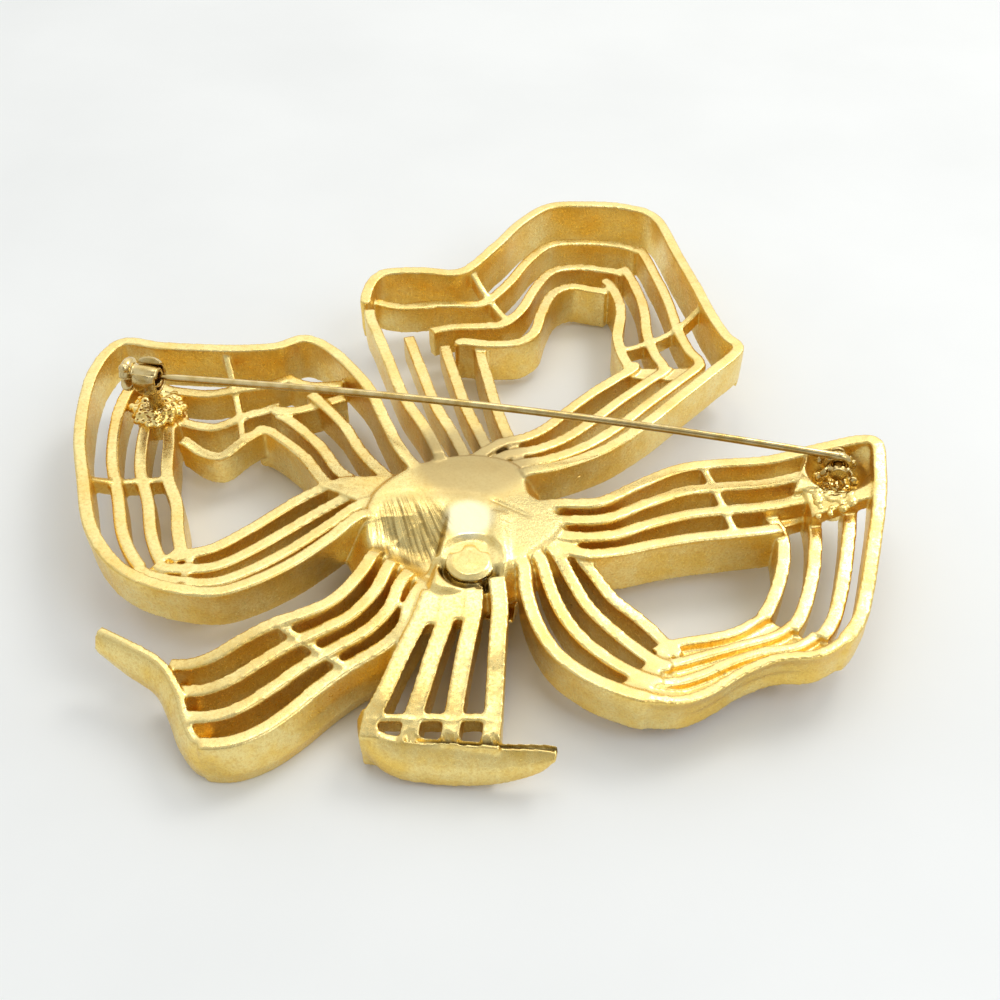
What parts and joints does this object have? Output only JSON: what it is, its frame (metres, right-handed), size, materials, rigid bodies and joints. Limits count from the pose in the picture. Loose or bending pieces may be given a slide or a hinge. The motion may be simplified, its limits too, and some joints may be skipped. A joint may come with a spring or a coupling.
{
  "type": "brooch",
  "caption": "Openwork ribbon bow brooch with looped slatted ribbons, two cut tails, a knot band, and a hinged pin with a turning catch on its back.",
  "frame": {"origin": "middle of the brooch's box on the surface that it lies on, face down", "axes": "+Z out of the brooch's back, X along the pin from the catch to the hinge, +Y towards the top loop"},
  "size_m": [0.0843, 0.085, 0.0129],
  "materials": {
    "gold_cast": "satin",
    "finding": "polished"
  },
  "bodies": {
    "bow": {"bow": "gold_cast", "knot": "gold_cast", "hinge_rivet": "finding"},
    "stem": {"pin_stem": "finding"},
    "rotor": {"catch_rotor": "finding"}
  },
  "joints": [
    {"name": "pin_hinge", "type": "hinge", "parent": "bow", "child": "stem", "pos_m": [0.03759, -0.00252, 0.00963], "axis": [0, 1, 0], "range_deg": [0, 95]},
    {"name": "catch_turn", "type": "hinge", "parent": "bow", "child": "rotor", "pos_m": [-0.03402, -0.00252, 0.01085], "axis": [-1, 0, 0], "range_deg": [0, 90]}
  ]
}
